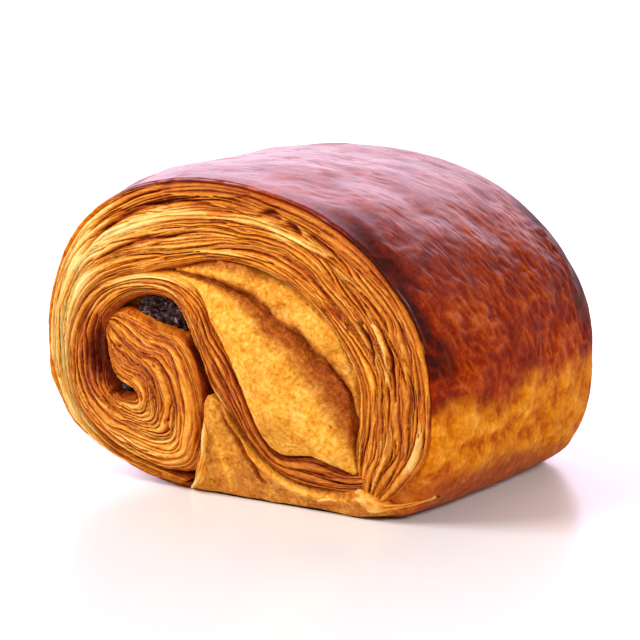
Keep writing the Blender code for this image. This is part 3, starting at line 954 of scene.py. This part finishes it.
# %% [markdown]
# ## The far end
#
# The far end is rolled from the same sheet, tight and regular, so it is a plain spiral of leaves round the
# two sticks, worked out by a formula instead of drawn. Each turn is a strip whose radius, as a share of the
# way to the rim, falls steadily with the angle, and the leaves sink in round the sticks.

# %% Far spiral
SPIRAL_MIDDLE = np.array([-17.0, 26.0])
FAR_TURNS = 2.0
TIGHTENING = 0.85
SMALLEST = 0.004
SEAM_ANGLE = math.radians(-38)


def spiral_stations(first, last, count):
    """Inner and outer points of the far spiral between two numbers of turns from its outer end. The share
    of the way to the rim is (1 - turns / all turns)^0.85, and the inner edge has that of the next turn."""
    turns = np.linspace(first, last, count)
    angle = SEAM_ANGLE + 2 * math.pi * turns
    reach = reach_from(SPIRAL_MIDDLE, angle, 600)
    line = np.stack([np.cos(angle), np.sin(angle)], axis=1)
    rim = SPIRAL_MIDDLE + line * reach[:, None]
    reach = reach - 1.2 - 5.2 * heel(rim[:, 0], rim[:, 1])
    outer, inner = (np.clip(1 - t / FAR_TURNS, 0, 1) ** TIGHTENING for t in (turns, turns + 1))
    return np.hstack([SPIRAL_MIDDLE + line * (reach * np.maximum(inner, SMALLEST))[:, None],
                      SPIRAL_MIDDLE + line * (reach * outer)[:, None]])


FAR_FOLDS = [
    ([(34, 14), (36, 24), (33, 35), (26, 44), (16, 51)], 0.9, 0.9),
    ([(20, 47), (10, 52.5), (-2, 55.5), (-14, 55.5)], 0.5, -2.0),
    ([(28, 20), (28.5, 28), (25, 36), (18, 42)], 0.4, -2.2),
    ([(10, 12), (18, 16), (22, 24), (21, 32)], 0.45, -2.0),
    ([(-36, 40), (-39, 32), (-38, 22), (-33, 14)], 0.5, -1.8),
    ([(-8, 46), (4, 43), (12, 37), (16, 29)], 1.0, 0.8),
    ([(0, 8), (8, 11), (14, 17)], 1.0, 0.7),
]
STICK_TILTS = {"chocolate_stick_upper": -8, "chocolate_stick_inner": 7}
STICK_PLACES = {"chocolate_stick_upper": (-15.2, 34.9), "chocolate_stick_inner": (-22, 18)}
STICK_HALF_WIDTH, STICK_HALF_HEIGHT = 6.0, 2.8
HOLLOW_DEPTH = 9.0


def hollow(x, z, middle, tilt):
    """1 inside a stick's rounded section, (across^3 + up^3)^(1/3) < 1, and falling to 0 over 1.6 mm outside
    it."""
    turn = math.radians(tilt)
    dx, dz = x - middle[0], z - middle[1]
    across = (dx * math.cos(turn) + dz * math.sin(turn)) / STICK_HALF_WIDTH
    up = (dz * math.cos(turn) - dx * math.sin(turn)) / STICK_HALF_HEIGHT
    distance = (np.abs(across) ** 3 + np.abs(up) ** 3) ** (1 / 3)
    return 1 - smooth((distance - 1) * STICK_HALF_HEIGHT, 0.1, 1.6)


def far_turn(name, first, last, rows, columns, seed, count):
    """One turn of the far spiral: leaves, folds and a slow swell, sunk round the sticks."""
    x, z, along, across, width = strip(spiral_stations(first, last, 40), rows, columns)
    height, crest, browned, pale = flaked(along, across, width, seed, count, groove=1.4, own=0.8, wander=1.0)
    rise, fold_pale, split = marked(x, z, FAR_FOLDS)
    swell = 0.8 * noise(x / 11, z / 11, seed + 30)
    height = height * (1 - 0.5 * fold_pale) + rise + swell + tuck(across, width, 1.6)
    for stick_name, tilt in STICK_TILTS.items():
        height = height - HOLLOW_DEPTH * hollow(x, z, STICK_PLACES[stick_name], tilt)
    zone = 0.4 * bump(rim_share(x, z), 0.95, 0.1) - 0.1
    # Splits are painted darker and never pale, as shade in the gaps
    values = {"crest": np.clip(crest - 0.6 * split, 0, 1), "toast_light_and_shade": np.clip(0.1 + 0.5 * browned + zone, 0, 1),
              "pale": np.clip(np.maximum(0.7 * pale - np.clip(zone, 0, 1), fold_pale), 0, 1) * (1 - split)}
    face_strip(name, 1, x, z, height, values, along, across, LEAVES)


far_turn("tail_turn_far", -0.97, 0.02, 600, 150, 361, 20)
far_turn("middle_turn_far", 0.0, 1.0, 520, 170, 301, 28)
far_turn("inner_turn_far", 0.98, 2.0, 320, 120, 331, 20)

# %% [markdown]
# ## The chocolate
#
# Each stick is a bar with a rounded rectangular section, which the oven has slumped, and its ends are
# lumpy. A box with bevelled edges would do for its length, but only the ends show, so the ends get most of
# the rings.


# %% Sticks
END_RINGS = 26
STICK_POWER = 3.4


def stick(name, tilt, rows=110, columns=90):
    """A bar along Y. Its section is a superellipse, |across|^p + |up|^p = 1, and each end is closed by
    rings that shrink to nothing and stand out by half a millimetre times 1 - ring squared, with lumps."""
    node_low, node_high = (np.array(corner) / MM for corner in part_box(name))
    middle = (node_low + node_high) / 2
    half = (node_high[1] - node_low[1]) / 2
    angle = np.linspace(0, 2 * math.pi, columns, endpoint=False)
    power = 2 / STICK_POWER
    across = STICK_HALF_WIDTH * np.sign(np.cos(angle)) * np.abs(np.cos(angle)) ** power
    up = STICK_HALF_HEIGHT * np.sign(np.sin(angle)) * np.abs(np.sin(angle)) ** power
    end = np.linspace(0.02, 1, END_RINGS)
    side = np.linspace(-1, 1, rows - 2 * END_RINGS)
    share = np.concatenate([end, np.ones(len(side)), end[::-1]])
    crown = 0.5 * (1 - end**2)
    y = np.concatenate([-half - crown, side * half, half + crown[::-1]])
    turn = math.radians(tilt)
    x = share[:, None] * across[None, :]
    z = share[:, None] * up[None, :]
    lump = 0.9 * rough(x / 1.9 + 40, z / 1.9 + np.sign(y)[:, None] * 9 + 40, 301, 4)
    at_end = smooth(np.abs(y)[:, None], half - 2, half)
    grid = np.stack([middle[0] + x * math.cos(turn) - z * math.sin(turn),
                     middle[1] + y[:, None] + np.sign(y)[:, None] * lump * at_end,
                     middle[2] + x * math.sin(turn) + z * math.cos(turn)], axis=-1)
    tube(name + "_baked", grid, {"crest": np.ones((len(share), columns))}, CHOCOLATE, name)


for stick_name, tilt in STICK_TILTS.items():
    stick(stick_name, tilt)

# %% [markdown]
# ## Floor, light and camera
#
# The roll is shown as in a bakery's catalogue: on a pale floor that runs out of sight, in soft daylight. A
# glossy crust shows what it mirrors, so the light that matters most is a broad window behind the roll. It
# could be a lamp, but as part of the sky it stays even over the whole crust. Two wide suns give the leaves
# their shading.

# %% Floor
scene = bpy.context.scene
scene.view_settings.view_transform = "Standard"
FLOOR_REACH = 12.0


def floor():
    """A pale square far larger than the view, in metres."""
    mesh = bpy.data.meshes.new("floor")
    corners = [(x * FLOOR_REACH, y * FLOOR_REACH, 0) for x, y in ((-1, -1), (1, -1), (1, 1), (-1, 1))]
    mesh.from_pydata(corners, [], [(0, 1, 2, 3)])
    made = bpy.data.objects.new("floor", mesh)
    scene.collection.objects.link(made)
    paint, tree = empty_material("white studio floor")
    shader = node(tree, "BsdfPrincipled", {"Base Color": colour("#f2f2f2"), "Roughness": 0.25})
    node(tree, "OutputMaterial", {"Surface": shader})
    mesh.materials.append(paint)


floor()
print("floor:", 2 * FLOOR_REACH, "m wide")


# %% Two suns
def sun(name, place, strength, angle):
    """A far, wide light, as even over the floor as over the roll, from a direction and as wide as an
    angle."""
    light = bpy.data.lights.new(name, "SUN")
    light.energy = strength
    light.angle = math.radians(angle)
    made = bpy.data.objects.new(name, light)
    scene.collection.objects.link(made)
    made.rotation_euler = Vector(place).to_track_quat("Z", "Y").to_euler()
    print(name, "is", angle, "degrees wide")


sun("key light", (-0.9, -0.8, 0.8), 3.4, 40)
sun("side fill", (0.8, -0.4, 0.6), 1.9, 20)

# %% Sky and window
WINDOW_TOWARD = Vector((-0.42, 0.74, 0.54)).normalized()
WINDOW_EDGE, WINDOW_FULL, WINDOW_STRENGTH = 0.76, 0.97, 2.4
COVE_LOW, COVE_HIGH = 0.75, 0.2


def studio():
    """A white cove, bright round the horizon and dim above, with a broad lilac window behind the roll: a
    smooth step of the cosine to its middle. The glaze mirrors the window along the top."""
    world = bpy.data.worlds.new("white studio")
    world.use_nodes = True
    tree = world.node_tree
    tree.nodes.clear()
    direction = node(tree, "TexCoord").outputs["Generated"]
    up = node(tree, "SeparateXYZ", {"Vector": direction}).outputs["Z"]
    level = node(tree, "MapRange", {
        "Value": up, "From Min": 0.08, "From Max": 0.25, "To Min": COVE_LOW, "To Max": COVE_HIGH},
        interpolation_type="SMOOTHSTEP")
    facing = node(tree, "VectorMath", {0: direction, 1: WINDOW_TOWARD}, operation="DOT_PRODUCT")
    window = node(tree, "MapRange", {
        "Value": facing, "From Min": WINDOW_EDGE, "From Max": WINDOW_FULL, "To Min": 0.0,
        "To Max": WINDOW_STRENGTH}, interpolation_type="SMOOTHSTEP")
    cove = node(tree, "Background", {"Color": colour("#ffffff"), "Strength": level})
    panel = node(tree, "Background", {"Color": colour("#f4daf8"), "Strength": window})
    light = node(tree, "AddShader", {0: cove, 1: panel})
    seen = node(tree, "LightPath").outputs["Is Camera Ray"]
    white = node(tree, "Background", {"Color": colour("#ffffff"), "Strength": 1.0})
    either = node(tree, "MixShader", {0: seen, 1: light, 2: white})
    node(tree, "OutputWorld", {"Surface": either})
    scene.world = world


studio()
fade = [round(math.degrees(math.acos(share))) for share in (WINDOW_FULL, WINDOW_EDGE)]
print("window: fades from", fade[0], "to", fade[1], "degrees from its middle")

# %% [markdown]
# The camera stands where the photograph was taken from, to the right of the shown end and a little above
# it, with a long lens, because the roll's far edges hardly narrow.

# %% Camera
AZIMUTH, ELEVATION, ROLL = math.radians(28.0), math.radians(10.0), math.radians(2.5)
LENS, SENSOR_WIDTH = 170.0, 36.0
DISTANCE = 0.617
LOOK_AT = Vector((-0.0012, -0.001, 0.030))


def camera():
    """Stands DISTANCE from the roll's middle, turned ROLL about its own line of sight."""
    flat = math.cos(ELEVATION)
    toward = Vector((math.sin(AZIMUTH) * flat, -math.cos(AZIMUTH) * flat, math.sin(ELEVATION)))
    level = Vector((math.cos(AZIMUTH), math.sin(AZIMUTH), 0.0))
    upright = toward.cross(level)
    across = level * math.cos(ROLL) + upright * math.sin(ROLL)
    upward = upright * math.cos(ROLL) - level * math.sin(ROLL)
    data = bpy.data.cameras.new("camera")
    data.lens = LENS
    data.sensor_width = SENSOR_WIDTH
    data.clip_start = 0.01
    made = bpy.data.objects.new("camera", data)
    scene.collection.objects.link(made)
    turned = Matrix((across, upward, toward)).transposed().to_4x4()
    made.matrix_world = Matrix.Translation(LOOK_AT + toward * DISTANCE) @ turned
    scene.camera = made


camera()
print("camera:", DISTANCE, "m from the roll")

# %% [markdown]
# ## One body
#
# Every piece rides on the one body of the roll.

# %% Finish
for piece in made_pieces:
    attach(piece, "root")
